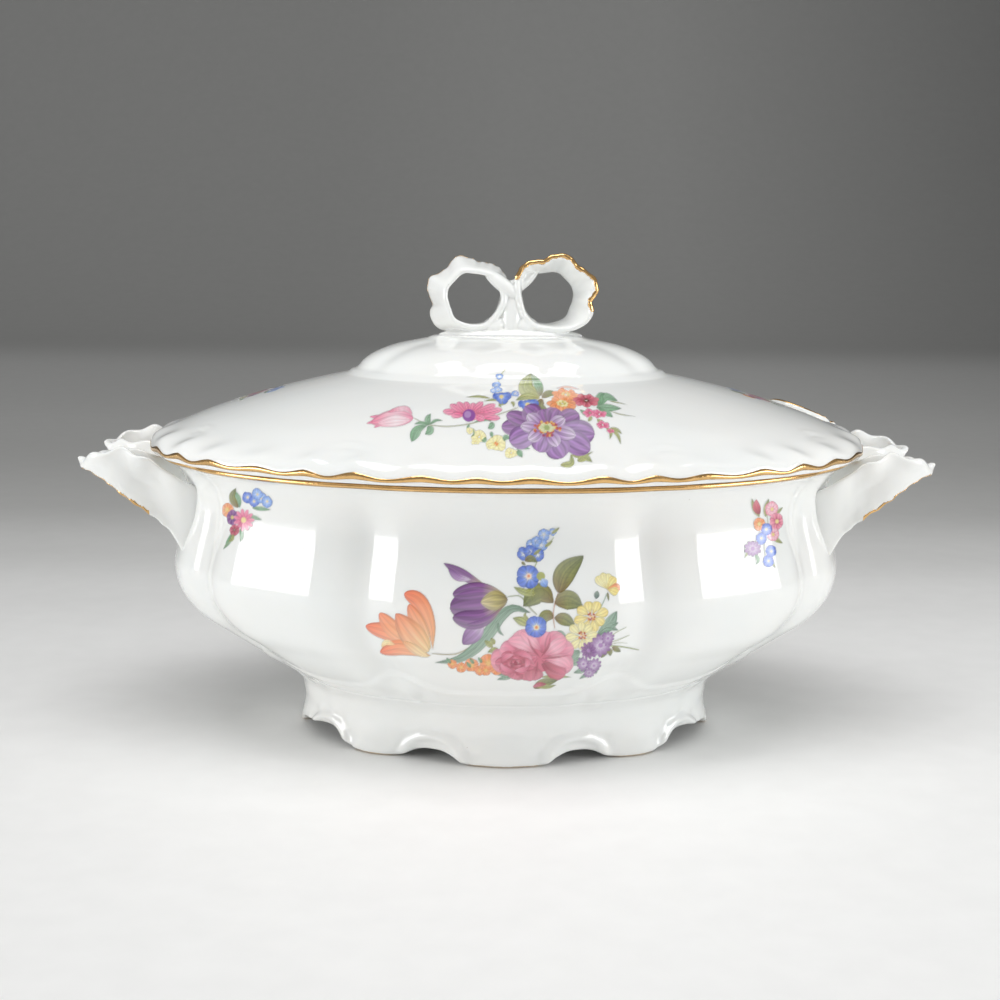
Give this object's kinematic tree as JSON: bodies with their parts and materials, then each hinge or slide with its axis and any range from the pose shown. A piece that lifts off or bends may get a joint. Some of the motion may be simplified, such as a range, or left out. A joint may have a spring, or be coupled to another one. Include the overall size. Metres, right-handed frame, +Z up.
{
  "type": "soup tureen",
  "caption": "Oval lobed soup tureen in glazed porcelain: footed bowl with ribbon-bow handles, and a lift-off scalloped lid with a bow finial and a ladle notch.",
  "frame": {"origin": "centre of the foot, on the surface it stands on", "axes": "+X along the two handles, +Z up, -Y towards the decorated front"},
  "size_m": [0.3394, 0.2056, 0.1933],
  "materials": {
    "porcelain": "glossy, bright, slightly cool white glaze",
    "gilding": "burnished gold film, a little worn",
    "transfer_print": "many-coloured flower prints fired into the glaze"
  },
  "bodies": {
    "bowl": {"bowl_shell": "porcelain", "foot_ring": "porcelain", "bowl_lip_gilding": "gilding", "handle_left": "porcelain", "handle_left_gilding_front": "gilding", "handle_left_gilding_rear": "gilding", "handle_right": "porcelain", "handle_right_gilding_front": "gilding", "handle_right_gilding_rear": "gilding"},
    "lid": {"lid_shell": "porcelain", "lid_flange": "porcelain", "lid_finial": "porcelain", "notch_collar": "porcelain", "notch_gilding": "gilding", "lid_edge_gilding": "gilding", "finial_gilding_right": "gilding", "finial_gilding_left": "gilding"}
  },
  "joints": [
    {"name": "lid_lift", "type": "slide", "parent": "bowl", "child": "lid", "axis": [0, 0, 1], "range_m": [0, 0.14]}
  ]
}
